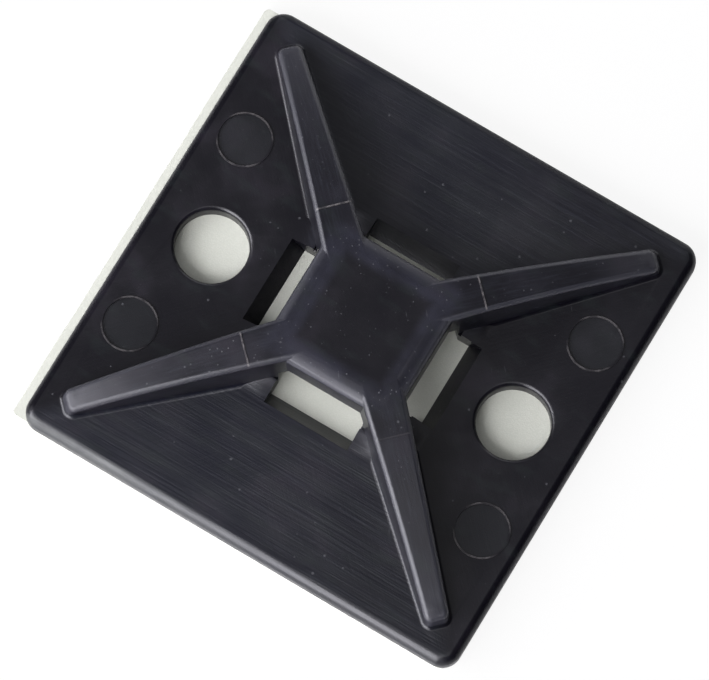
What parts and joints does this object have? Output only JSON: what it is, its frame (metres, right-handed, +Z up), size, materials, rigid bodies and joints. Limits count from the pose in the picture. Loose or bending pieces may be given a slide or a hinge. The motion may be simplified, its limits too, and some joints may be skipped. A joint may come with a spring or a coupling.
{
  "type": "cable tie mount",
  "caption": "Square adhesive-backed base plate with a raised saddle on sloping diagonal legs, slots that let cable ties pass either way, and screw holes.",
  "frame": {"origin": "on the resting face, under the middle of the base plate", "axes": "+Z up out of the adhesive face, X through the screw holes, Y along the plate's other sides"},
  "size_m": [0.0292, 0.0286, 0.0055],
  "materials": {
    "moulding": "satin black, faintly blue, with fine tool lines on part of the plate",
    "foam": "fine closed-cell foam, off-white",
    "liner": "smooth coated paper, off-white"
  },
  "bodies": {
    "root": {"mount_body": "moulding", "foam_tape": "foam", "release_liner": "liner"}
  },
  "joints": []
}
